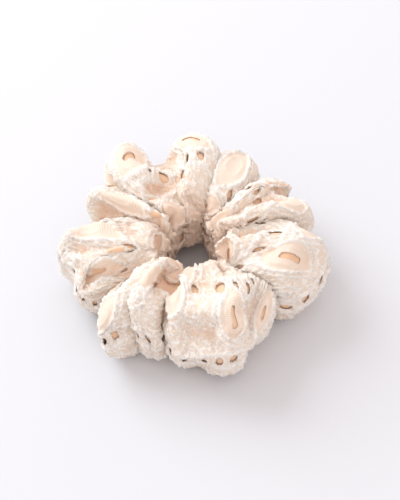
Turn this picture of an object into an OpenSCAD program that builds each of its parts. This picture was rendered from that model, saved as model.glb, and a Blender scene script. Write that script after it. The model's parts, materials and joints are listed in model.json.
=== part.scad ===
// A gathered lace scrunchie: a ring of soft puffs on a hidden elastic band.
// The ring is laid out in four quarters, so that it can be pulled open.
// Origin: centre of the ring on the surface that it rests on. +Z is up, +Y is the back.

/* [Puffs] */
// Distance from the ring's centre to the middle of an end puff
end_puff_reach = 37; // [36.5:0.1:37.5]
// Radius of an end puff
end_puff_r = 22.5; // [22:0.1:23]
// Distance from the ring's centre to the middle of a side puff
side_puff_reach = 35.5; // [35.2:0.1:36]
// Radius of a side puff
side_puff_r = 21.5; // [21.2:0.1:22]
// Height of the puffs' middles above the resting face
puff_mid_z = 19; // [18:0.1:19.1]

/* [Cloth] */
// Thickness of the corded lace
lace_t = 1; // [0.6:0.1:1.2]
// Thickness of the plain lining
lining_t = 0.5; // [0.4:0.1:0.6]
// Air between the lace and the lining
cloth_gap = 1; // [0.5:0.1:1]

/* [Elastic] */
// Inner radius of the relaxed elastic ring
elastic_r = 21.5; // [21.4:0.1:23]
// Thickness of the braided band
elastic_t = 1.2; // [0.8:0.1:1.5]
// Width of the braided band
elastic_w = 6; // [4:0.5:6]
// Length over which the band's two ends lie on each other
lap_len = 9; // [6:0.5:12]

/* [Threads] */
// Thickness of the sewing thread
thread_d = 0.4; // [0.3:0.05:0.4]
// Stitches across the lap of the elastic
lap_stitches = 6; // [3:1:8]

/* [Hidden] */

BACK = 90;
LEFT = 180;
FRONT = 270;
RIGHT = 0;
puff_half_pitch = 22.5;     // each quarter holds two puffs, this far either side of its middle
quarter_gap = 0.4;          // between two quarters, so that they part cleanly
thread_gap = 0.3;           // between a thread and what it lies beside
facets = 96;
far = 200;                  // beyond every solid

lining_inset = lace_t + cloth_gap;
seam_ring_r = elastic_r - thread_gap - thread_d / 2;
lap_angle = lap_len / (elastic_r + elastic_t) * 180 / PI;

function is_end(middle) = middle == LEFT || middle == RIGHT;
function puff_reach(middle) = is_end(middle) ? end_puff_reach : side_puff_reach;
function puff_r(middle) = is_end(middle) ? end_puff_r : side_puff_r;

// Both puffs of one quarter and its neighbours' nearest puffs, made smaller by inset.
module puffs(middle, inset) {
    intersection() {
        union() {
            for (side = [-1, 1])
                puff(middle, middle + side * puff_half_pitch, inset);
            for (side = [-1, 1])
                puff(middle + 90 * side, middle + side * 3 * puff_half_pitch, inset);
        }
        translate([-far / 2, -far / 2, inset])
            cube([far, far, far]);
    }
}

module puff(quarter, angle, inset) {
    middle = (quarter + 360) % 360;
    rotate([0, 0, angle])
        translate([puff_reach(middle), 0, puff_mid_z])
            sphere(r = puff_r(middle) - inset, $fn = facets);
}

// The quarter's share of the space, short of its two side planes by half the gap.
module quarter_wedge(middle) {
    rotate([0, 0, middle])
        translate([quarter_gap / 2 * sqrt(2), 0, -far / 2])
            linear_extrude(height = far)
                polygon([[0, 0], [far, -far], [far, far]]);
}

// One quarter of a tube of cloth that lies inset under the puffs' outside.
module cloth_quarter(middle, inset, thickness) {
    intersection() {
        difference() {
            puffs(middle, inset);
            puffs(middle, inset + thickness);
        }
        quarter_wedge(middle);
    }
}

module lace(middle) {
    color("Linen")
        cloth_quarter(middle, 0, lace_t);
}

module lining(middle) {
    color("BurlyWood")
        cloth_quarter(middle, lining_inset, lining_t);
}

module band_ring(inner, thickness, width) {
    translate([0, 0, puff_mid_z - width / 2])
        difference() {
            cylinder(r = inner + thickness, h = width, $fn = facets);
            translate([0, 0, -1])
                cylinder(r = inner, h = width + 2, $fn = facets);
        }
}

module elastic(middle) {
    color("Ivory")
        intersection() {
            union() {
                band_ring(elastic_r, elastic_t, elastic_w);
                if (middle == BACK)
                    elastic_lap();
            }
            quarter_wedge(middle);
        }
}

// The band's second end, lying on the outside of its first.
module elastic_lap() {
    half_w = (elastic_r + elastic_t) * tan(lap_angle / 2);
    intersection() {
        band_ring(elastic_r + elastic_t, elastic_t, elastic_w);
        translate([-half_w, 0, 0])
            cube([2 * half_w, far, far]);
    }
}

// Straight stitches that lie on the lap's outer face, side by side along the band.
module elastic_lap_stitches() {
    stitch_r = elastic_r + 2 * elastic_t + thread_gap / 2 + thread_d / 2;
    stitch_l = elastic_w - 2 * thread_d;
    step = lap_angle * 0.8 / lap_stitches;
    color("White")
        for (i = [0 : lap_stitches - 1])
            rotate([0, 0, BACK + (i - (lap_stitches - 1) / 2) * step])
                translate([stitch_r, 0, puff_mid_z - stitch_l / 2])
                    cylinder(d = thread_d, h = stitch_l, $fn = 24);
}

// The seam that closes both tubes along their length, beside the elastic.
module long_seam(middle) {
    color("White")
        intersection() {
            translate([0, 0, puff_mid_z])
                rotate_extrude($fn = facets)
                    translate([seam_ring_r, 0])
                        circle(d = thread_d, $fn = 24);
            quarter_wedge(middle);
        }
}

// The round of thread in the back valley, where the tube's two ends are joined.
module closing_seam() {
    valley_reach = side_puff_reach * cos(puff_half_pitch);
    half_spacing = side_puff_reach * sin(puff_half_pitch);
    clear_r = side_puff_r + thread_gap + thread_d / 2;
    round_r = sqrt(clear_r * clear_r - half_spacing * half_spacing);
    color("White")
        translate([0, valley_reach, puff_mid_z])
            rotate([0, 90, 0])
                rotate_extrude($fn = facets)
                    translate([round_r, 0])
                        circle(d = thread_d, $fn = 24);
}

lace(LEFT);  // lace_left
lace(BACK);  // lace_back
lace(RIGHT);  // lace_right
lace(FRONT);  // lace_front
lining(LEFT);  // lining_left
lining(BACK);  // lining_back
lining(RIGHT);  // lining_right
lining(FRONT);  // lining_front
elastic(LEFT);  // elastic_left
elastic(BACK);  // elastic_back
elastic(RIGHT);  // elastic_right
elastic(FRONT);  // elastic_front
elastic_lap_stitches();
long_seam(LEFT);  // long_seam_left
long_seam(BACK);  // long_seam_back
long_seam(RIGHT);  // long_seam_right
long_seam(FRONT);  // long_seam_front
closing_seam();
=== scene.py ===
# A gathered lace scrunchie: corded lace over a plain lining, on a braided elastic.
import json
import math

import bmesh
import bpy
import numpy as np
from mathutils import Matrix, Vector


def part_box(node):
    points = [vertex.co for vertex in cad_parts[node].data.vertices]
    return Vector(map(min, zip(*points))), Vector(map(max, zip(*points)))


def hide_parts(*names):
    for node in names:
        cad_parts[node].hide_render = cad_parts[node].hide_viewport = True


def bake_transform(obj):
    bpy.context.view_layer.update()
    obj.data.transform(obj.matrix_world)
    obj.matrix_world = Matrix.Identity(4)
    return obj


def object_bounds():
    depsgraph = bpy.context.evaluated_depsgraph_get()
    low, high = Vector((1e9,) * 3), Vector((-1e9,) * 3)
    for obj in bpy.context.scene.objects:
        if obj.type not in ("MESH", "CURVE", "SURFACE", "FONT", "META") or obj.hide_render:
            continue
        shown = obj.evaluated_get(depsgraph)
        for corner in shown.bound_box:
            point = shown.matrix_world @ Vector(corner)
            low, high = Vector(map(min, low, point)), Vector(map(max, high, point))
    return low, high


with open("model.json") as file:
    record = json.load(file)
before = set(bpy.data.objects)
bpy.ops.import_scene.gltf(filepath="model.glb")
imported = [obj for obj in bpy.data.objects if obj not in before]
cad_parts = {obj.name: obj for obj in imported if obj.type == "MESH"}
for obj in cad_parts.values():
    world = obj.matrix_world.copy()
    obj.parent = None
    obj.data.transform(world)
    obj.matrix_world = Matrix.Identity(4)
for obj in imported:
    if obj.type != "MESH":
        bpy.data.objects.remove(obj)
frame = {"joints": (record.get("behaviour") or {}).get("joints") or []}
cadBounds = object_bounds()

mm = 0.001
ringLow, ringHigh = Vector(cadBounds[0]), Vector(cadBounds[1])
ringHalf = (ringHigh.x - ringLow.x) / 2
ringHeight = ringHigh.z - ringLow.z
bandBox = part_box("elastic_right")
bandOuter = bandBox[1][0]
bandWidth = bandBox[1][2] - bandBox[0][2]
bandMidZ = (bandBox[1][2] + bandBox[0][2]) / 2
pullJoint = next(j for j in frame["joints"] if j["name"] == "pull_open")

# One row for each puff, anticlockwise from the right: first and last angle in degrees, reach as a share of
# the ring's half width, top as a share of its height, inner radius in mm, pleats, how open the valley after
# it is, how far its top leans sideways and how far its outside swings round, both in degrees.
puffRows = [
    (-36, 10, 0.92, 0.82, 11.0, 1, 0.46, 5, 3),
    (10, 50, 0.94, 0.86, 10.5, 2, 0.40, -4, -3),
    (50, 74, 0.83, 0.78, 13.0, 1, 0.55, 0, 2),
    (74, 108, 0.94, 0.94, 12.5, 1, 0.76, 2, -2),
    (108, 140, 0.93, 0.86, 11.0, 1, 0.58, 4, -4),
    (140, 163, 0.88, 0.84, 9.0, 1, 0.50, 3, 2),
    (163, 193, 0.95, 0.76, 10.0, 1, 0.46, 0, 4),
    (193, 214, 0.86, 0.60, 13.0, 1, 0.46, 0, 0),
    (214, 238, 0.94, 0.68, 14.0, 1, 0.58, -3, 5),
    (238, 255, 0.77, 0.87, 15.5, 1, 0.52, -8, 2),
    (255, 324, 0.96, 0.86, 15.5, 1, 0.30, 3, -7),
]

# Hollows pressed into the puffs: angle round the ring, height round the tube, length, width, turn and depth.
hollowRows = [
    (255, 98, 15, 10, 80, 7),
    (128, 104, 30, 7, 15, 5),
    (172, 45, 26, 6, 80, 4),
    (186, 62, 20, 6, 70, 3),
    (203, 34, 16, 9, 75, 5),
    (28, 84, 20, 6, 80, 2.5),
    (300, 130, 16, 6, 75, 4),
    (-4, 112, 18, 6, 100, 4),
    (98, 100, 20, 6, 85, 4),
]

cloth = {
    "endsFrom": 0.026, "endsIn": 0.09,  # m from the middle, share
    "alongSteps": 216,
    "aroundSteps": 48,
    "pleatOpening": 0.80,      # how open the creases inside one puff are
    "squareness": 0.78,        # below 1 the tube's section is boxier than round
    "wrinkleSeed": 11,
    "simScale": 10.0,          # cloth behaves better at ten times its size
    "simFrames": 24,
    "growth": 0.20,            # the cloth is this much longer than the puffs' smooth skin
    "calmPasses": 6,           # smoothing beside the elastic
    "bending": 22.0,
    "guide": 0.30,             # how firmly the puffs hold their places
    "floorSoftness": 0.8 * mm,
}

lace = {
    "alongSteps": 800,
    "aroundSteps": 200,
    "thickness": 0.4 * mm,
    "cordHeight": 1.4,        # the rest of this dictionary is in mm on the flat cloth
    "cordWidth": 0.68,
    "rasterStep": 0.3,
    "leafColumns": 12,
    "leafRows": 4,
    "leafLength": 23.0,
    "leafWidth": 14.0,
    "slitLength": 9.8,
    "slitWidth": 2.7,
    "eyelet": 3.2,
    "seed": 4,
    "rosetteRadius": 5.2,
    "rosettes": [(245, 54), (36, 62), (330, 20), (100, 20), (186, 25)],
    # the leaves that show from above: angle round the ring, height round the tube, turn in degrees, slit share
    "showLeaves": [
        (-23, 60, 85, 1.0), (22, 62, 30, 0), (62, 70, 80, 0), (91, 62, -14, 1.1), (124, 66, 20, 0.9),
        (152, 78, 75, 0), (178, 66, 60, 0), (203, 60, 80, 1.0), (226, 40, 75, 0), (244, 74, 60, 0), (291, 62, 98, 1.0),
        (266, 80, 80, 0), (312, 28, 40, 0.5),
    ],
}

lining = {"alongSteps": 400, "aroundSteps": 88, "inset": 0.65 * mm, "thickness": 0.25 * mm}


def noteStage(text):
    print("scrunchie:", text)


# ---------------------------------------------------------------- shape of the gathered tube
def ringNoise(x, cells, seed):
    # smooth noise round the ring, repeating once a turn
    values = np.random.default_rng(seed).uniform(-1, 1, cells)
    x = (x % 1.0) * cells
    cell = np.floor(x).astype(int)
    t = x - cell
    t = t * t * (3 - 2 * t)
    return values[cell % cells] * (1 - t) + values[(cell + 1) % cells] * t


def listPleats():
    pleats = []
    wobble = np.random.default_rng(5)
    for first, last, reach, top, inner, count, opening, lean, swing in puffRows:
        step = (last - first) / count
        for j in range(count):
            offCentre = abs((j + 0.5) / count * 2 - 1) if count > 1 else 0
            isLast = j == count - 1
            end = first + (j + 1) * step + (0 if isLast else wobble.uniform(-1.6, 1.6))
            pleats.append({
                "end": end,
                "reach": reach * ringHalf * (1 - 0.05 * offCentre),
                "top": top * ringHeight * (1 - 0.07 * offCentre),
                "inner": inner * mm,
                "opening": opening if isLast else cloth["pleatOpening"],
                "lean": lean,
                "swing": swing,
            })
    return {key: np.array([p[key] for p in pleats], float) for key in pleats[0]}


pleats = listPleats()
pleatCount = len(pleats["end"])
pleatStart = np.append(pleats["end"][-1] - 360, pleats["end"][:-1])
pleatShare = (pleats["end"] - pleatStart) ** 0.85 * pleats["reach"]
pleatEdges = np.concatenate([[0], np.cumsum(pleatShare / pleatShare.sum())])
openingBefore = np.append(pleats["opening"][-1], pleats["opening"][:-1])


def angleShare(angle):
    # where a valley's angle falls along the cloth, from 0 to 1
    return float(np.interp(angle, np.append(pleatStart[0], pleats["end"]), pleatEdges))


def puffSkin(along, around):
    # the smooth skin of the puffs: along the ring 0..1, around the tube -pi..pi with 0 outside
    k = np.clip(np.searchsorted(pleatEdges, along, side="right") - 1, 0, pleatCount - 1)
    f = (along - pleatEdges[k]) / (pleatEdges[k + 1] - pleatEdges[k])
    outside = (1 + np.cos(around)) / 2
    valley = np.where(f < 0.5, openingBefore[k], pleats["opening"][k])
    deep = valley < 0.75
    dome = np.abs(np.sin(math.pi * f)) ** np.where(deep, 0.60, 0.75)
    valley = np.where(deep, valley, valley + (1 - valley) * 0.5 * (1 - outside))
    size = valley + (1 - valley) * dome

    def softened(values):
        neighbour = np.where(f < 0.5, (k - 1) % pleatCount, (k + 1) % pleatCount)
        weight = np.abs(f - 0.5)
        return values[k] * (1 - weight) + values[neighbour] * weight

    middle = bandOuter - 1.2 * mm
    out = (softened(pleats["reach"]) - middle) * size
    inward = (middle - softened(pleats["inner"])) * size ** 0.7
    up = (softened(pleats["top"]) - bandMidZ) * size
    down = bandMidZ * size ** 0.7
    c, s = np.cos(around), np.sin(around)
    power = cloth["squareness"]
    c = np.sign(c) * np.abs(c) ** power
    s = np.sign(s) * np.abs(s) ** power
    radius = middle + (out - inward) / 2 + (out + inward) / 2 * c
    height = bandMidZ + np.where(s > 0, up, down) * s
    drift = ringNoise(along, pleatCount, 3) * np.sin(around)
    drift = drift + ringNoise(along, 2 * pleatCount, 4) * np.cos(2 * around)
    angle = pleatStart[k] + (pleats["end"][k] - pleatStart[k]) * f + 1.4 * drift * size
    angle = angle + softened(pleats["lean"]) * np.clip(s, 0, 1) * dome
    angle = angle + softened(pleats["swing"]) * c * dome
    angle = np.radians(angle)
    return np.stack([radius * np.cos(angle), radius * np.sin(angle), height], 1)


def spinTube(name, alongSteps, aroundSteps, first=0.0, last=1.0):
    # a plain tube spun round the ring; returns it with each vertex's place on the cloth
    bm = bmesh.new()
    tubeRadius, spinRadius = 1.0, 3.0
    bmesh.ops.create_circle(bm, segments=aroundSteps, radius=tubeRadius)
    bmesh.ops.rotate(bm, verts=bm.verts, cent=(0, 0, 0), matrix=Matrix.Rotation(math.pi / 2, 3, "X"))
    bmesh.ops.translate(bm, verts=bm.verts, vec=(spinRadius, 0, 0))
    bmesh.ops.spin(bm, geom=bm.verts[:] + bm.edges[:], cent=(0, 0, 0), axis=(0, 0, 1),
                   angle=2 * math.pi * (last - first), steps=alongSteps, use_merge=last - first >= 1)
    bmesh.ops.recalc_face_normals(bm, faces=bm.faces)
    mesh = bpy.data.meshes.new(name)
    bm.to_mesh(mesh)
    bm.free()
    piece = bpy.data.objects.new(name, mesh)
    bpy.context.scene.collection.objects.link(piece)
    co = readPoints(mesh)
    turn = np.arctan2(co[:, 1], co[:, 0]) / (2 * math.pi)
    turn = np.where(turn < -1e-6, turn + 1, np.abs(turn))
    around = np.arctan2(co[:, 2], np.hypot(co[:, 0], co[:, 1]) - spinRadius)
    centre = Vector(mesh.polygons[0].center)
    ringPoint = Vector((centre.x, centre.y, 0)).normalized() * spinRadius
    if mesh.polygons[0].normal.dot(centre - ringPoint) < 0:
        mesh.flip_normals()
    return piece, first + turn, around


def readPoints(mesh):
    flat = np.empty(len(mesh.vertices) * 3)
    mesh.vertices.foreach_get("co", flat)
    return flat.reshape(-1, 3)


def writePoints(mesh, points):
    mesh.vertices.foreach_set("co", np.ascontiguousarray(points, dtype=np.float32).ravel())
    mesh.update()


def readNormals(mesh):
    flat = np.empty(len(mesh.vertices) * 3)
    mesh.vertices.foreach_get("normal", flat)
    return flat.reshape(-1, 3)


def seedWrinkles(along, around):
    # small ridges that run round the tube and drift sideways on their way
    heights = 0
    for cells, size, seed in ((18, 4.0, 21), (34, 1.5, 33)):
        drift = ringNoise(along, cells // 3, seed + 5) * 0.6
        drift = drift + around / math.pi * ringNoise(along, cells // 4, seed + 9) * 1.1
        heights = heights + size * ringNoise(along + drift / cells, cells, seed)
    fromBand = np.abs(np.abs(around) - math.pi) / math.pi
    return heights * np.clip(2.5 * fromBand - 0.5, 0, 1) * mm


def simulateTube(piece, around):
    # the cloth is too long for its puffs, so it buckles into folds while the inner line holds it
    scale = cloth["simScale"]
    mesh = piece.data
    writePoints(mesh, readPoints(mesh) * scale)
    fromBand = np.abs(np.abs(around) - math.pi) / math.pi
    hold = piece.vertex_groups.new(name="hold")
    inner = [int(i) for i in np.flatnonzero(fromBand < 0.05)]
    rest = [int(i) for i in np.flatnonzero(fromBand >= 0.05)]
    hold.add(inner, 1.0, "REPLACE")
    hold.add(rest, cloth["guide"], "REPLACE")
    sim = piece.modifiers.new("Cloth", "CLOTH")
    settings = sim.settings
    settings.quality = 5
    settings.mass = 0.2
    settings.air_damping = 2.0
    settings.tension_stiffness = 30
    settings.compression_stiffness = 30
    settings.shear_stiffness = 10
    settings.bending_stiffness = cloth["bending"]
    settings.tension_damping = 10
    settings.compression_damping = 10
    settings.shear_damping = 6
    settings.bending_damping = 1
    settings.shrink_min = -cloth["growth"]
    settings.shrink_max = -cloth["growth"]
    settings.vertex_group_mass = "hold"
    settings.pin_stiffness = 1.0
    settings.effector_weights.gravity = 0.1
    settings.use_pressure = True
    settings.uniform_pressure_force = 1.5
    bumps = sim.collision_settings
    bumps.use_self_collision = True
    bumps.self_distance_min = 0.003
    bumps.self_friction = 4
    bumps.collision_quality = 2
    sim.point_cache.frame_start = 1
    sim.point_cache.frame_end = cloth["simFrames"]
    for step in range(1, cloth["simFrames"] + 1):
        bpy.context.scene.frame_set(step)
    evaluated = piece.evaluated_get(bpy.context.evaluated_depsgraph_get())
    settled = bpy.data.meshes.new_from_object(evaluated)
    points = readPoints(settled) / scale
    piece.modifiers.clear()
    bpy.data.meshes.remove(settled)
    bpy.context.scene.frame_set(1)
    return points


def restOnFloor(points, softness):
    # what would hang below the resting face is pressed flat on it
    z = points[:, 2]
    points = points.copy()
    points[:, 2] = softness * np.logaddexp(0, z / softness)
    return points


def gatherCloth():
    piece, along, around = spinTube("gathering", cloth["alongSteps"], cloth["aroundSteps"])
    along = along % 1.0
    writePoints(piece.data, puffSkin(along, around))
    points = readPoints(piece.data) + readNormals(piece.data) * seedWrinkles(along, around)[:, None]
    writePoints(piece.data, points)
    points = simulateTube(piece, around)
    points = restOnFloor(points, cloth["floorSoftness"])
    alongIndex = np.rint(along * cloth["alongSteps"]).astype(int) % cloth["alongSteps"]
    aroundIndex = np.rint(around / (2 * math.pi) * cloth["aroundSteps"]).astype(int) % cloth["aroundSteps"]
    grid = np.zeros((cloth["alongSteps"], cloth["aroundSteps"], 3))
    grid[alongIndex, aroundIndex] = points
    bpy.data.objects.remove(piece)
    turn = 2 * math.pi * np.arange(cloth["aroundSteps"]) / cloth["aroundSteps"]
    inside = np.clip(0.75 - 1.1 * np.cos(turn), 0, 1)[None, :, None]
    for _ in range(cloth["calmPasses"]):
        soft = (np.roll(grid, 1, 0) + 2 * grid + np.roll(grid, -1, 0)) / 4
        grid = grid + (soft - grid) * inside
    return grid


def drawInEnds(grid):
    # both ends of the ring draw in a little, from just outside the elastic
    past = np.maximum(np.abs(grid[:, :, 0]) - cloth["endsFrom"], 0)
    grid[:, :, 0] -= np.sign(grid[:, :, 0]) * past * cloth["endsIn"]
    return grid


def gridNormals(grid):
    alongSlope = np.roll(grid, -1, 0) - np.roll(grid, 1, 0)
    aroundSlope = np.roll(grid, -1, 1) - np.roll(grid, 1, 1)
    normal = np.cross(alongSlope, aroundSlope)
    return normal / (np.linalg.norm(normal, axis=2)[:, :, None] + 1e-12)


def pressHollows(grid):
    alongMm = np.linalg.norm(np.roll(grid, -1, 0) - grid, axis=2) / mm
    aroundMm = np.linalg.norm(np.roll(grid, -1, 1) - grid, axis=2) / mm
    normals = gridNormals(grid)
    depths = np.zeros(grid.shape[:2])
    for angle, height, length, width, turn, depth in hollowRows:
        i0 = int(round(angleShare(angle) * grid.shape[0])) % grid.shape[0]
        j0 = int(round(height / 360 * grid.shape[1])) % grid.shape[1]
        di = (np.arange(grid.shape[0]) - i0 + grid.shape[0] // 2) % grid.shape[0] - grid.shape[0] // 2
        dj = (np.arange(grid.shape[1]) - j0 + grid.shape[1] // 2) % grid.shape[1] - grid.shape[1] // 2
        near = alongMm[max(0, i0 - 4):i0 + 5, j0].mean()
        x, y = (di * near)[:, None], (dj * aroundMm[i0].mean())[None, :]
        u = x * math.cos(math.radians(turn)) + y * math.sin(math.radians(turn))
        v = -x * math.sin(math.radians(turn)) + y * math.cos(math.radians(turn))
        inside = np.hypot(u / (length / 2), v / (width / 2))
        depths = np.maximum(depths, depth * np.exp(-inside ** 4 * 0.7))
    return grid - normals * (depths * mm)[:, :, None]


def measureFolds(grid):
    # how deep each place lies in a fold, in mm, and the same cloth with its sharp crests let down
    soft = grid
    for _ in range(12):
        soft = (np.roll(soft, 1, 0) + np.roll(soft, -1, 0) + np.roll(soft, 1, 1) + np.roll(soft, -1, 1)) / 4
    depths = ((soft - grid) * gridNormals(grid)).sum(2) / mm
    crest = np.clip((-depths - 3.0) / 2.0, 0, 1)
    return depths, grid + (soft - grid) * crest[:, :, None]


def splineWeights(t):
    value = [(1 - t) ** 3 / 6, (3 * t ** 3 - 6 * t ** 2 + 4) / 6, (-3 * t ** 3 + 3 * t ** 2 + 3 * t + 1) / 6, t ** 3 / 6]
    slope = [-(1 - t) ** 2 / 2, (3 * t ** 2 - 4 * t) / 2, (-3 * t ** 2 + 2 * t + 1) / 2, t ** 2 / 2]
    return value, slope


def onCloth(grid, along, around, offset=0.0):
    # a smooth surface through the folds, with a lift along its normal
    x = (along % 1.0) * grid.shape[0]
    y = (around / (2 * math.pi) % 1.0) * grid.shape[1]
    i, j = np.floor(x).astype(int), np.floor(y).astype(int)
    wx, dx = splineWeights(x - i)
    wy, dy = splineWeights(y - j)
    point, alongSlope, aroundSlope = 0, 0, 0
    for a in range(4):
        for b in range(4):
            knot = grid[(i + a - 1) % grid.shape[0], (j + b - 1) % grid.shape[1]]
            point = point + (wx[a] * wy[b])[:, None] * knot
            alongSlope = alongSlope + (dx[a] * wy[b])[:, None] * knot
            aroundSlope = aroundSlope + (wx[a] * dy[b])[:, None] * knot
    normal = np.cross(alongSlope, aroundSlope)
    normal /= np.linalg.norm(normal, axis=1)[:, None] + 1e-12
    return point + normal * np.reshape(offset, (-1, 1)) * np.ones((len(point), 1))


grid = gatherCloth()
grid = drawInEnds(grid)
grid = pressHollows(grid)
depths, innerGrid = measureFolds(grid)
ringSteps = np.linalg.norm(np.roll(grid, -1, 0) - grid, axis=2)
tubeSteps = np.linalg.norm(np.roll(grid, -1, 1) - grid, axis=2)
outsideRows = [j for j in range(cloth["aroundSteps"]) if math.cos(2 * math.pi * j / cloth["aroundSteps"]) > -0.3]
flatLength = float(ringSteps[:, outsideRows].sum(0).mean()) / mm
flatWidth = float(tubeSteps.sum(1).mean()) / mm
cutLength = float(ringSteps.sum(0).mean()) / mm * 0.95
pleatRows = []
for k in range(pleatCount):
    rows = np.arange(cloth["alongSteps"])
    inPleat = (rows >= pleatEdges[k] * cloth["alongSteps"]) & (rows < pleatEdges[k + 1] * cloth["alongSteps"])
    pleatRows.append(ringSteps[inPleat].sum(0) / mm / (flatLength * inPleat.mean()))
pleatRows = np.array(pleatRows)
pleatRows = sum(np.roll(pleatRows, shift, 1) for shift in (-2, -1, 0, 1, 2)) / 5
noteStage(f"cloth gathered, cut {cutLength:.0f} x {flatWidth:.0f} mm, {flatLength:.0f} mm along its outside")


# ---------------------------------------------------------------- the lace, drawn on the flat cloth
def bandNoise(shape, grain, seed):
    # repeating noise with grains of about that many mm, of unit strength
    white = np.random.default_rng(seed).standard_normal(shape)
    fx = np.fft.fftfreq(shape[0], lace["rasterStep"])[:, None]
    fy = np.fft.fftfreq(shape[1], lace["rasterStep"])[None, :]
    frequency = np.hypot(fx, fy) * grain
    band = np.exp(-((frequency - 0.5) / 0.22) ** 2)
    noise = np.real(np.fft.ifft2(np.fft.fft2(white) * band))
    return noise / noise.std()


def ovalDistance(x, y, halfLength, halfWidth):
    # how far outside a pointed oval a place is, negative inside
    edge = np.abs(y) - halfWidth * (1 - (x / halfLength) ** 2)
    steepness = np.hypot(1, 2 * halfWidth * x / halfLength ** 2)
    return edge / steepness


def cordProfile(distance, width, height):
    return height * np.exp(-(distance / width) ** 2)


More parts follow.
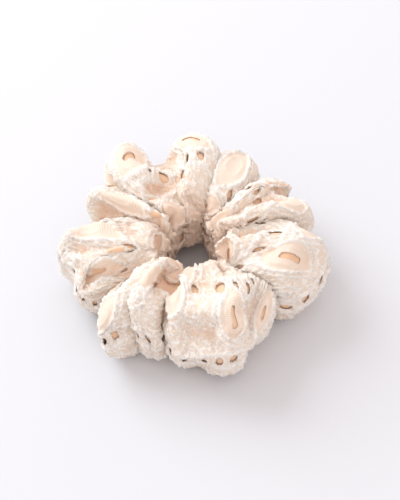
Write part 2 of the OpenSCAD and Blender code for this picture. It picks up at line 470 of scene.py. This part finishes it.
def drawLace():
    step = lace["rasterStep"]
    shape = (int(round(flatLength / step)), int(round(flatWidth / step)))
    x = (np.arange(shape[0]) * flatLength / shape[0])[:, None]
    y = (np.arange(shape[1]) * flatWidth / shape[1])[None, :]
    rng = np.random.default_rng(lace["seed"])
    width, height = lace["cordWidth"], lace["cordHeight"]
    toHole = np.full(shape, 9.0)
    cords = np.zeros(shape)
    leaf = np.full(shape, 9.0)

    def nearPlaces(cx, cy, reach):
        # the raster cells near a motif's middle, across the joins too, and their places from it
        span = int(reach / step) + 1
        i = np.arange(-span, span + 1) + int(cx / flatLength * shape[0])
        j = np.arange(-span, span + 1) + int(cy / flatWidth * shape[1])
        cells = np.ix_(i % shape[0], j % shape[1])
        dx = (i * flatLength / shape[0] - cx)[:, None]
        dy = (j * flatWidth / shape[1] - cy)[None, :]
        return cells, dx + 0 * dy, dy + 0 * dx

    def drawLeaf(cx, cy, turn, slitShare):
        near, dx, dy = nearPlaces(cx, cy, lace["leafLength"] * 0.75)
        u = dx * math.cos(turn) + dy * math.sin(turn)
        v = -dx * math.sin(turn) + dy * math.cos(turn)
        outline = ovalDistance(u, v, lace["leafLength"] / 2, lace["leafWidth"] / 2)
        straight = (lace["slitLength"] - lace["slitWidth"]) / 2 * max(slitShare, 0.3)
        slit = np.hypot(np.maximum(np.abs(u) - straight, 0), v) - lace["slitWidth"] / 2
        leaf[near] = np.minimum(leaf[near], outline)
        if slitShare > 0:
            toHole[near] = np.minimum(toHole[near], slit)
        drawn = np.maximum(cordProfile(outline, width, height), cordProfile(outline - 2.1, width, height * 0.7))
        drawn = np.maximum(drawn, cordProfile(slit - 2.4, width * 0.7, height * 0.3))
        cords[near] = np.maximum(cords[near], drawn)

    def drawRosette(cx, cy, radius):
        near, dx, dy = nearPlaces(cx, cy, radius * 1.3)
        r = np.hypot(dx, dy)
        rings = np.maximum(cordProfile(r - radius, width, height), cordProfile(r - radius * 0.5, width, height * 0.9))
        spokes = cordProfile(r * np.sin(5 * np.arctan2(dy, dx)) / 5, width * 0.6, height * 0.7)
        inside = r < radius + width
        cords[near] = np.where(inside, np.maximum(rings, np.where(r < radius, spokes, 0)), cords[near])
        leaf[near] = np.where(inside, 9.0, leaf[near])
        toHole[near] = np.where(inside, 9.0, toHole[near])

    leaves = []
    for angle, height01, turn, slitShare in lace["showLeaves"]:
        leaves.append((angleShare(angle) * flatLength, height01 / 360 * flatWidth, math.radians(turn), slitShare))
    columnStep = flatLength / lace["leafColumns"]
    rowStep = flatWidth / lace["leafRows"]
    turns = (0, 52, -48, 90, 20, -25)
    count = 0
    for row in range(lace["leafRows"]):
        for column in range(lace["leafColumns"]):
            cx = (column + 0.5 * (row % 2)) * columnStep + rng.uniform(-1.5, 1.5)
            cy = (row + 0.5) * rowStep + rng.uniform(-1.0, 1.0)
            turn = math.radians(turns[(count * 5 + row) % len(turns)] + rng.uniform(-8, 8))
            count += 1
            gap = min(math.hypot((cx - x0 + flatLength / 2) % flatLength - flatLength / 2,
                                 (cy - y0 + flatWidth / 2) % flatWidth - flatWidth / 2) for x0, y0, _, _ in leaves)
            if gap > lace["leafWidth"] * 1.15:
                leaves.append((cx, cy, turn, 0.8 if count % 3 == 1 else 0))
    for cx, cy, turn, slitShare in leaves:
        drawLeaf(cx, cy, turn, slitShare)
    for row in range(lace["leafRows"]):
        waves = 7 + row % 2
        phase = rng.uniform(0, 2 * math.pi)
        middle = row * rowStep + 2.4 * np.sin(2 * math.pi * waves * x / flatLength + phase)
        offset = (y - middle + flatWidth / 2) % flatWidth - flatWidth / 2
        for side in (-3.0, 3.0):
            vine = cordProfile(offset - side, width, height * 0.9)
            cords = np.maximum(cords, np.where(leaf > -0.3, vine, 0))
        eyelets = int(flatLength / 8.5)
        for j in range(eyelets):
            cx = (j + rng.uniform(-0.15, 0.15)) * flatLength / eyelets
            cy = row * rowStep + 2.4 * math.sin(2 * math.pi * waves * cx / flatLength + phase)
            near, dx, dy = nearPlaces(cx, cy, 2 * lace["eyelet"])
            long = 1.0 if j % 3 else 1.35
            eyelet = np.hypot(dx / long, dy) - lace["eyelet"] / 2
            eyelet = np.where(leaf[near] > 0.6, eyelet, 9.0)
            toHole[near] = np.minimum(toHole[near], eyelet)
            cords[near] = np.maximum(cords[near], cordProfile(eyelet - 0.55, width * 0.8, height * 0.7))
    for angle, height01 in lace["rosettes"]:
        drawRosette(angleShare(angle) * flatLength, height01 / 360 * flatWidth, lace["rosetteRadius"])
    scribble = bandNoise(shape, 3.2, lace["seed"] + 1)
    slopeX = (np.roll(scribble, -1, 0) - np.roll(scribble, 1, 0)) / (2 * step)
    slopeY = (np.roll(scribble, -1, 1) - np.roll(scribble, 1, 1)) / (2 * step)
    worm = np.abs(scribble) / (np.hypot(slopeX, slopeY) + 0.15)
    worm = np.where((leaf > 0.8) & (toHole > 0.9), cordProfile(worm, width * 0.8, height * 0.38), 0)
    cords = np.maximum(cords, worm)
    beads = 0.78 + 0.22 * np.clip(bandNoise(shape, 1.3, lace["seed"] + 2), -1.8, 1.8)
    smooth = np.clip((-leaf - 0.4) / 0.8, 0, 1)
    ground = 0.14 * np.clip(bandNoise(shape, 1.6, lace["seed"] + 3), -2, 2) * (1 - smooth)
    lift = cords * beads + ground + 0.12 * (1 - smooth)
    lift = lift * np.clip(toHole / 0.5, 0.15, 1)
    noteStage(f"lace drawn, {len(leaves)} leaves")
    return {"lift": lift, "toHole": toHole, "cord": np.clip(cords / height, 0, 1), "leaf": smooth}


def clothPlace(along, around):
    # which part of the flat cloth shows: near the elastic each valley hides the cloth between two puffs
    k = np.clip(np.searchsorted(pleatEdges, along % 1.0, side="right") - 1, 0, pleatCount - 1)
    y = (around / (2 * math.pi) % 1.0) * cloth["aroundSteps"]
    j = np.floor(y).astype(int)
    low = pleatRows[k, j % cloth["aroundSteps"]]
    shown = low + (pleatRows[k, (j + 1) % cloth["aroundSteps"]] - low) * (y - j)
    middle = (pleatEdges[k] + pleatEdges[k + 1]) / 2
    return middle + (along % 1.0 - middle) * shown, shown


def readRaster(raster, along, around):
    x = (along % 1.0) * raster.shape[0]
    y = (around / (2 * math.pi) % 1.0) * raster.shape[1]
    i, j = np.floor(x).astype(int), np.floor(y).astype(int)
    fx, fy = x - i, y - j
    i0, j0 = i % raster.shape[0], j % raster.shape[1]
    i1, j1 = (i + 1) % raster.shape[0], (j + 1) % raster.shape[1]
    low = raster[i0, j0] * (1 - fx) + raster[i1, j0] * fx
    high = raster[i0, j1] * (1 - fx) + raster[i1, j1] * fx
    return low * (1 - fy) + high * fy


def snapToHoles(drawing, along, around):
    # points close to a hole's rim move onto it, so that the rim is a clean curve
    place, shown = clothPlace(along, around)
    reachMm = 0.32
    nudge = 0.2
    stepAlong, stepAround = nudge / flatLength, nudge / flatWidth * 2 * math.pi
    toHole = readRaster(drawing["toHole"], place, around)
    slopeA = (readRaster(drawing["toHole"], place + stepAlong, around)
              - readRaster(drawing["toHole"], place - stepAlong, around)) / (2 * nudge)
    slopeB = (readRaster(drawing["toHole"], place, around + stepAround)
              - readRaster(drawing["toHole"], place, around - stepAround)) / (2 * nudge)
    steep = slopeA ** 2 + slopeB ** 2 + 1e-6
    close = np.abs(toHole) < reachMm
    moveA = np.where(close, -toHole * slopeA / steep, 0) / flatLength
    moveB = np.where(close, -toHole * slopeB / steep, 0) / flatWidth * 2 * math.pi
    return along + moveA / shown, around + moveB, place + moveA, np.where(close, 0, toHole)


def addNumber(mesh, name, values):
    attribute = mesh.attributes.new(name, "FLOAT", "POINT")
    attribute.data.foreach_set("value", values.astype(np.float32))


def addFabricMap(mesh, along, around):
    # the cloth's own flat map, in metres
    loops = np.empty(len(mesh.loops), dtype=np.int32)
    mesh.loops.foreach_get("vertex_index", loops)
    v = around / (2 * math.pi)
    starts = np.empty(len(mesh.polygons), dtype=np.int32)
    mesh.polygons.foreach_get("loop_start", starts)
    totals = np.empty(len(mesh.polygons), dtype=np.int32)
    mesh.polygons.foreach_get("loop_total", totals)
    first = np.repeat(v[loops[starts]], totals)
    v = v[loops]
    v = v + np.round(first - v)
    layer = mesh.uv_layers.new(name="fabric")
    uv = np.stack([along[loops] * flatLength * mm, v * flatWidth * mm], 1)
    layer.data.foreach_set("uv", uv.astype(np.float32).ravel())


def shadeSmooth(mesh):
    mesh.polygons.foreach_set("use_smooth", np.ones(len(mesh.polygons), dtype=bool))


def thicken(piece, thickness, offset=-1.0):
    wall = piece.modifiers.new("Thickness", "SOLIDIFY")
    wall.thickness = thickness
    wall.offset = offset
    wall.use_rim = True


def makeLace(name, first, last, drawing, material):
    steps = max(4, round(lace["alongSteps"] * (last - first)))
    piece, along, around = spinTube(name, steps, lace["aroundSteps"], first, last)
    along, around, place, toHole = snapToHoles(drawing, along, around)
    lift = readRaster(drawing["lift"], place, around) * mm
    points = onCloth(grid, along, around, lift)
    points[:, 2] = np.maximum(points[:, 2], lace["thickness"] + 0.05 * mm)
    mesh = piece.data
    writePoints(mesh, points)
    addNumber(mesh, "cord", readRaster(drawing["cord"], place, around))
    addNumber(mesh, "leaf", readRaster(drawing["leaf"], place, around))
    # painted shade: a mask, strongest deep in the folds and on the ring's inner wall, that tints the lace warm peach
    # there as its shade would look
    inside = np.clip(-np.cos(around) - 0.25, 0, 1) * 0.9
    addNumber(mesh, "paintedShade", np.clip(np.maximum(readRaster(depths, along, around) / 1.6, inside), 0, 1))
    addFabricMap(mesh, place, around)
    bm = bmesh.new()
    bm.from_mesh(mesh)
    bm.verts.ensure_lookup_table()
    holes = [f for f in bm.faces if sum(toHole[v.index] for v in f.verts) < -0.05]
    bmesh.ops.delete(bm, geom=holes, context="FACES")
    bm.to_mesh(mesh)
    bm.free()
    shadeSmooth(mesh)
    thicken(piece, lace["thickness"])
    mesh.materials.append(material)
    return piece


def makeLining(name, first, last, material):
    steps = max(4, round(lining["alongSteps"] * (last - first)))
    piece, along, around = spinTube(name, steps, lining["aroundSteps"], first, last)
    points = onCloth(innerGrid, along, around, -lining["inset"])
    points[:, 2] = np.maximum(points[:, 2], lining["inset"])
    writePoints(piece.data, points)
    addFabricMap(piece.data, along, around)
    shadeSmooth(piece.data)
    thicken(piece, lining["thickness"])
    piece.data.materials.append(material)
    return piece


# ---------------------------------------------------------------- materials
def newMaterial(name, colour, roughness):
    material = bpy.data.materials.new(name)
    material.use_nodes = True
    tree = material.node_tree
    shader = tree.nodes["Principled BSDF"]
    shader.inputs["Base Color"].default_value = (*colour, 1)
    shader.inputs["Roughness"].default_value = roughness
    return material, tree, shader


def addNode(tree, kind, settings=None, **inputs):
    node = tree.nodes.new(kind)
    for key, value in (settings or {}).items():
        setattr(node, key, value)
    for key, value in inputs.items():
        socket = node.inputs[key.replace("_", " ")]
        if hasattr(value, "is_output"):
            tree.links.new(value, socket)
        else:
            socket.default_value = value
    return node


def mathNode(tree, operation, a, b=0.0):
    node = tree.nodes.new("ShaderNodeMath")
    node.operation = operation
    for socket, value in zip(node.inputs, (a, b)):
        if hasattr(value, "is_output"):
            tree.links.new(value, socket)
        else:
            socket.default_value = value
    return node.outputs[0]


def mixColour(tree, factor, a, b):
    node = tree.nodes.new("ShaderNodeMix")
    node.data_type = "RGBA"
    for socket, value in ((node.inputs[0], factor), (node.inputs[6], a), (node.inputs[7], b)):
        if hasattr(value, "is_output"):
            tree.links.new(value, socket)
        elif isinstance(value, float):
            socket.default_value = value
        else:
            socket.default_value = (*value, 1)
    return node.outputs[2]


def noiseNode(tree, vector, scale, detail=2.0, roughness=0.5):
    node = addNode(tree, "ShaderNodeTexNoise", Scale=scale, Detail=detail, Roughness=roughness)
    tree.links.new(vector, node.inputs["Vector"])
    return node.outputs[0]


def rampNode(tree, factor, stops):
    node = tree.nodes.new("ShaderNodeMapRange")
    tree.links.new(factor, node.inputs[0])
    for socket, value in zip(node.inputs[1:5], stops):
        socket.default_value = value
    return node.outputs[0]


def weaveHeight(tree, mapOutput, pitch):
    # over and under of a plain weave, on the fabric's own map
    scale = 1 / (pitch * 2 * math.pi) * math.pi
    warp = addNode(tree, "ShaderNodeTexWave", {"bands_direction": "X"}, Vector=mapOutput, Scale=scale)
    weft = addNode(tree, "ShaderNodeTexWave", {"bands_direction": "Y"}, Vector=mapOutput, Scale=scale)
    return mathNode(tree, "MULTIPLY", warp.outputs[1], weft.outputs[1])


def curlyCord(tree, vector, scale, width):
    # a fine cord that wanders over the cloth, 1 on its middle
    wander = noiseNode(tree, vector, scale, 1.0)
    offLine = mathNode(tree, "ABSOLUTE", mathNode(tree, "SUBTRACT", wander, 0.5))
    return rampNode(tree, offLine, (width * 0.35, width, 1.0, 0.0))


def laceMaterial():
    material, tree, shader = newMaterial("cordedLace", (0.86, 0.79, 0.70), 0.75)
    coords = addNode(tree, "ShaderNodeTexCoord").outputs["Object"]
    fabricMap = addNode(tree, "ShaderNodeUVMap", {"uv_map": "fabric"}).outputs[0]
    cord = addNode(tree, "ShaderNodeAttribute", {"attribute_name": "cord"}).outputs["Fac"]
    leaf = addNode(tree, "ShaderNodeAttribute", {"attribute_name": "leaf"}).outputs["Fac"]
    offLeaf = mathNode(tree, "SUBTRACT", 1.0, leaf)
    cloudy = noiseNode(tree, coords, 90.0, 3.0)
    cloud = rampNode(tree, cloudy, (0.3, 0.7, 0.0, 1.0))
    groundColour = mixColour(tree, cloud, (0.89, 0.69, 0.53), (0.92, 0.75, 0.60))
    leafColour = mixColour(tree, cloud, (0.88, 0.74, 0.62), (0.92, 0.81, 0.70))
    crochet = rampNode(tree, noiseNode(tree, coords, 1300.0, 2.0, 0.6), (0.40, 0.60, 0.0, 1.0))
    groundColour = mixColour(tree, crochet, groundColour, (0.92, 0.81, 0.69))
    laid = addNode(tree, "ShaderNodeTexWave", {"bands_direction": "Y"}, Vector=fabricMap, Scale=420.0,
                   Distortion=0.6).outputs[1]
    onLeaf = mathNode(tree, "MULTIPLY", laid, leaf)
    leafColour = mixColour(tree, laid, (0.86, 0.70, 0.57), leafColour)
    colour = mixColour(tree, leaf, groundColour, leafColour)
    curls = mathNode(tree, "MAXIMUM", curlyCord(tree, fabricMap, 330.0, 0.060), curlyCord(tree, fabricMap, 650.0, 0.036))
    curls = mathNode(tree, "MULTIPLY", curls, offLeaf)
    white = mathNode(tree, "MAXIMUM", curls, rampNode(tree, cord, (0.25, 0.7, 0.0, 1.0)))
    colour = mixColour(tree, white, colour, (0.985, 0.94, 0.88))
    # painted shade: deep folds and the ring's inner wall are tinted a warm peach, the colour of the shade inside the
    # cloth
    paintedShade = addNode(tree, "ShaderNodeAttribute", {"attribute_name": "paintedShade"}).outputs["Fac"]
    paintedFoldShade = mixColour(tree, 0.35, (0.89, 0.58, 0.39), colour)
    colour = mixColour(tree, mathNode(tree, "MULTIPLY", paintedShade, 0.9), colour, paintedFoldShade)
    specks = addNode(tree, "ShaderNodeTexVoronoi", Vector=coords, Scale=620.0)
    speck = rampNode(tree, specks.outputs["Distance"], (0.10, 0.16, 1.0, 0.0))
    pick = addNode(tree, "ShaderNodeSeparateColor")
    tree.links.new(specks.outputs["Color"], pick.inputs[0])
    chosen = rampNode(tree, pick.outputs[0], (0.90, 0.92, 0.0, 1.0))
    onCord = rampNode(tree, white, (0.25, 0.5, 0.0, 1.0))
    glint = mathNode(tree, "MULTIPLY", mathNode(tree, "MULTIPLY", speck, chosen), onCord)
    colour = mixColour(tree, glint, colour, (0.74, 0.71, 0.68))
    tree.links.new(colour, shader.inputs["Base Color"])
    tree.links.new(glint, shader.inputs["Metallic"])
    tree.links.new(rampNode(tree, glint, (0.0, 1.0, 0.75, 0.22)), shader.inputs["Roughness"])
    shader.inputs["Sheen Weight"].default_value = 0.2
    shader.inputs["Sheen Roughness"].default_value = 0.5
    weave = weaveHeight(tree, fabricMap, 0.42 * mm)
    height = mathNode(tree, "ADD", mathNode(tree, "MULTIPLY", weave, 0.12), mathNode(tree, "MULTIPLY", curls, 0.9))
    frizz = mathNode(tree, "MULTIPLY", mathNode(tree, "MULTIPLY", crochet, 0.5), offLeaf)
    height = mathNode(tree, "ADD", height, frizz)
    height = mathNode(tree, "ADD", height, mathNode(tree, "MULTIPLY", onLeaf, 0.35))
    bump = addNode(tree, "ShaderNodeBump", Strength=0.7, Distance=0.45 * mm, Height=height)
    tree.links.new(bump.outputs[0], shader.inputs["Normal"])
    return material


def liningAndShadeMaterial():
    # partly the lining's own beige, partly painted shade: deepened to a saturated peach that stands for the shaded
    # inside of the tube seen through the eyelets
    material, tree, shader = newMaterial("liningWithPaintedShade", (0.78, 0.57, 0.38), 0.8)
    coords = addNode(tree, "ShaderNodeTexCoord").outputs["Object"]
    fabricMap = addNode(tree, "ShaderNodeUVMap", {"uv_map": "fabric"}).outputs[0]
    cloudy = noiseNode(tree, coords, 70.0, 2.0)
    colour = mixColour(tree, rampNode(tree, cloudy, (0.3, 0.7, 0.0, 1.0)), (0.88, 0.58, 0.38), (0.92, 0.65, 0.45))
    tree.links.new(colour, shader.inputs["Base Color"])
    shader.inputs["Sheen Weight"].default_value = 0.15
    bump = addNode(tree, "ShaderNodeBump", Strength=0.4, Distance=0.12 * mm,
                   Height=weaveHeight(tree, fabricMap, 0.3 * mm))
    tree.links.new(bump.outputs[0], shader.inputs["Normal"])
    return material


# ---------------------------------------------------------------- the pieces
def follow(piece):
    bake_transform(piece)


laceCloth = laceMaterial()
liningAndShadeCloth = liningAndShadeMaterial()
drawing = drawLace()
cuts = [0.0, angleShare(50), angleShare(140), angleShare(214), 1.0]
quarters = ["right", "back", "left", "front"]
for index, quarter in enumerate(quarters):
    first, last = cuts[index], cuts[index + 1]
    piece = makeLace("laceCover" + quarter.capitalize(), first, last, drawing, laceCloth)
    follow(piece)
    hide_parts("lace_" + quarter)
    piece = makeLining("lining" + quarter.capitalize(), first, last, liningAndShadeCloth)
    follow(piece)
    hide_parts("lining_" + quarter)
noteStage("lace and lining made")


# ---------------------------------------------------------------- what the cloth hides
elastic = {"thickness": 1.2 * mm, "ribs": 7, "ribDepth": 0.10 * mm, "plaits": 150, "lap": 9.0 * mm, "spinSteps": 300}
stitching = {"thread": 0.2 * mm, "seamStitch": 2.5 * mm, "seamPitch": 3.2 * mm, "lapStitches": 6,
             "closingPitch": 3.0 * mm, "closingStitch": 2.6 * mm, "closingAngle": 108}


def addBand(bm, inner, startAngle, sweep, closed):
    # a flat band with rounded edges, spun round the ring at its own radius
    half = Vector((elastic["thickness"] / 2, bandWidth / 2))
    made = bmesh.ops.create_circle(bm, segments=40, radius=1.0)["verts"]
    for v in made:
        angle = math.atan2(v.co.y, v.co.x)
        c, s = math.cos(angle), math.sin(angle)
        x = half.x * math.copysign(abs(c) ** 0.35, c)
        z = half.y * math.copysign(abs(s) ** 0.6, s)
        rib = math.cos(2 * math.pi * elastic["ribs"] * z / bandWidth)
        x -= math.copysign(elastic["ribDepth"] * (0.5 - 0.5 * rib), x)
        v.co = Vector((inner + half.x + x, 0, bandMidZ + z))
    bmesh.ops.rotate(bm, verts=made, cent=(0, 0, 0), matrix=Matrix.Rotation(startAngle, 3, "Z"))
    edges = list({e for v in made for e in v.link_edges})
    steps = max(8, round(elastic["spinSteps"] * sweep / (2 * math.pi)))
    if not closed:
        cap = bmesh.ops.contextual_create(bm, geom=edges)["faces"]
        edges = edges + cap
    bmesh.ops.spin(bm, geom=made + edges, cent=(0, 0, 0), axis=(0, 0, 1), angle=sweep, steps=steps, use_merge=closed)


def makeElastic(material):
    inner = bandOuter - elastic["thickness"]
    bm = bmesh.new()
    addBand(bm, inner, 0, 2 * math.pi, True)
    sweep = elastic["lap"] / bandOuter
    addBand(bm, bandOuter, math.pi / 2 - sweep / 2, sweep, False)
    for v in bm.verts:
        # plaited strands: neighbouring ribs rise in turn
        angle = math.atan2(v.co.y, v.co.x)
        rib = math.floor((v.co.z - bandMidZ) / bandWidth * elastic["ribs"])
        wave = math.sin(elastic["plaits"] * angle + math.pi * (rib % 2))
        radial = Vector((v.co.x, v.co.y, 0)).normalized()
        v.co -= radial * (0.5 + 0.5 * wave) * elastic["ribDepth"] * 0.4
    bmesh.ops.recalc_face_normals(bm, faces=bm.faces)
    mesh = bpy.data.meshes.new("elasticBand")
    bm.to_mesh(mesh)
    bm.free()
    shadeSmooth(mesh)
    mesh.materials.append(material)
    piece = bpy.data.objects.new("elasticBand", mesh)
    bpy.context.scene.collection.objects.link(piece)
    return piece


def addStitch(bm, start, end, radius):
    # one stitch: a slim pip of thread between two needle holes
    start, end = Vector(start), Vector(end)
    along = end - start
    turn = along.to_track_quat("Z", "Y").to_matrix().to_4x4()
    shape = Matrix.Diagonal((radius, radius, along.length / 2 + radius, 1))
    place = Matrix.Translation((start + end) / 2) @ turn @ shape
    bmesh.ops.create_icosphere(bm, subdivisions=2, radius=1.0, matrix=place)


def finishStitches(name, bm, material, *nodes):
    mesh = bpy.data.meshes.new(name)
    bm.to_mesh(mesh)
    bm.free()
    shadeSmooth(mesh)
    mesh.materials.append(material)
    piece = bpy.data.objects.new(name, mesh)
    bpy.context.scene.collection.objects.link(piece)
    follow(piece)
    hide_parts(*nodes)
    return piece


def makeLongSeam(material):
    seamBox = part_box("long_seam_right")
    radius = seamBox[1][0] - stitching["thread"]
    count = round(2 * math.pi * radius / stitching["seamPitch"])
    half = stitching["seamStitch"] / 2 / radius
    bm = bmesh.new()
    for i in range(count):
        middle = 2 * math.pi * i / count
        ends = [(radius * math.cos(a), radius * math.sin(a), bandMidZ) for a in (middle - half, middle + half)]
        addStitch(bm, *ends, stitching["thread"])
    return finishStitches("longSeam", bm, material, *["long_seam_" + q for q in quarters])


def makeLapStitches(material):
    radius = bandOuter + elastic["thickness"] + stitching["thread"]
    count = stitching["lapStitches"]
    spread = elastic["lap"] * 0.8 / bandOuter
    half = bandWidth / 2 - 2 * stitching["thread"]
    bm = bmesh.new()
    corners = []
    for i in range(2 * count + 1):
        angle = math.pi / 2 + (i / (2 * count) - 0.5) * spread
        z = bandMidZ + (half if i % 2 else -half)
        corners.append((radius * math.cos(angle), radius * math.sin(angle), z))
    for start, end in zip(corners, corners[1:]):
        addStitch(bm, start, end, stitching["thread"] * 0.8)
    return finishStitches("elasticLapStitches", bm, material, "elastic_lap_stitches")


def makeClosingSeam(material):
    along = angleShare(stitching["closingAngle"])
    count = round(flatWidth * mm / stitching["closingPitch"])
    around = (np.arange(count) + 0.5) / count * 2 * math.pi
    reach = stitching["closingStitch"] / 2 / (flatLength * mm)
    lift = np.full(count, (lace["cordHeight"] * 0.6) * mm)
    starts = onCloth(grid, np.full(count, along - reach), around, lift)
    ends = onCloth(grid, np.full(count, along + reach), around, lift)
    bm = bmesh.new()
    for start, end in zip(starts, ends):
        addStitch(bm, start, end, stitching["thread"])
    for v in bm.verts:
        v.co.z = max(v.co.z, 0.05 * mm)
    return finishStitches("closingSeam", bm, material, "closing_seam")


def elasticMaterial():
    material, tree, shader = newMaterial("braidedElastic", (0.86, 0.83, 0.78), 0.6)
    coords = addNode(tree, "ShaderNodeTexCoord").outputs["Object"]
    fibres = noiseNode(tree, coords, 900.0, 3.0, 0.6)
    colour = mixColour(tree, rampNode(tree, fibres, (0.35, 0.65, 0.0, 1.0)), (0.74, 0.70, 0.64), (0.88, 0.85, 0.80))
    tree.links.new(colour, shader.inputs["Base Color"])
    bump = addNode(tree, "ShaderNodeBump", Strength=0.5, Distance=0.1 * mm, Height=fibres)
    tree.links.new(bump.outputs[0], shader.inputs["Normal"])
    return material


def threadMaterial():
    material, tree, shader = newMaterial("sewingThread", (0.90, 0.86, 0.78), 0.5)
    coords = addNode(tree, "ShaderNodeTexCoord").outputs["Object"]
    twist = noiseNode(tree, coords, 2500.0, 2.0)
    colour = mixColour(tree, rampNode(tree, twist, (0.35, 0.65, 0.0, 1.0)), (0.80, 0.75, 0.66), (0.92, 0.88, 0.81))
    tree.links.new(colour, shader.inputs["Base Color"])
    shader.inputs["Sheen Weight"].default_value = 0.2
    bump = addNode(tree, "ShaderNodeBump", Strength=0.5, Distance=0.05 * mm, Height=twist)
    tree.links.new(bump.outputs[0], shader.inputs["Normal"])
    return material


elasticCloth, threadCloth = elasticMaterial(), threadMaterial()
band = makeElastic(elasticCloth)
follow(band)
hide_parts(*["elastic_" + q for q in quarters])
makeLongSeam(threadCloth)
makeLapStitches(threadCloth)
makeClosingSeam(threadCloth)
noteStage("elastic and threads made")


# ---------------------------------------------------------------- floor, light and camera
studio = {
    "floorColour": (0.685, 0.70, 0.735),
    "worldColour": (1.0, 0.915, 0.895),
    "worldStrength": 1.05,
    "aim": (3 * mm, 0.0, 20 * mm),
    "cameraTilt": 52,
    "cameraDistance": 0.462,
    "lens": 100,
    # place, size in metres, watts and colour of each lamp
    "lamps": [((-0.95, 0.75, 0.95), 1.1, 17.0, (0.86, 0.95, 1.0)), ((0.7, -0.7, 0.8), 0.9, 0.3, (0.95, 0.97, 1.0))],
}


def aimAt(thing, target):
    thing.rotation_euler = (Vector(target) - thing.location).to_track_quat("-Z", "Y").to_euler()


def makeStudio():
    scene = bpy.context.scene
    bm = bmesh.new()
    bmesh.ops.create_grid(bm, x_segments=1, y_segments=1, size=2.0)
    mesh = bpy.data.meshes.new("floor")
    bm.to_mesh(mesh)
    bm.free()
    floor = bpy.data.objects.new("floor", mesh)
    scene.collection.objects.link(floor)
    material, _, _ = newMaterial("paleFloor", studio["floorColour"], 0.9)
    mesh.materials.append(material)
    world = bpy.data.worlds.new("studio")
    world.use_nodes = True
    sky = world.node_tree.nodes["Background"]
    sky.inputs["Color"].default_value = (*studio["worldColour"], 1)
    sky.inputs["Strength"].default_value = studio["worldStrength"]
    scene.world = world
    for index, (place, size, watts, colour) in enumerate(studio["lamps"]):
        light = bpy.data.lights.new(f"softLamp{index}", "AREA")
        light.size = size
        light.energy = watts
        light.color = colour
        lamp = bpy.data.objects.new(light.name, light)
        lamp.location = place
        scene.collection.objects.link(lamp)
        aimAt(lamp, (0, 0, 0))
    lensData = bpy.data.cameras.new("camera")
    lensData.lens = studio["lens"]
    lensData.sensor_fit = "HORIZONTAL"
    lensData.sensor_width = 36
    lensData.clip_start = 0.01
    camera = bpy.data.objects.new("camera", lensData)
    scene.collection.objects.link(camera)
    tilt = math.radians(studio["cameraTilt"])
    away = Vector((0, -math.cos(tilt), math.sin(tilt))) * studio["cameraDistance"]
    camera.location = Vector(studio["aim"]) + away
    aimAt(camera, studio["aim"])
    scene.camera = camera
    scene.view_settings.view_transform = "Standard"


makeStudio()
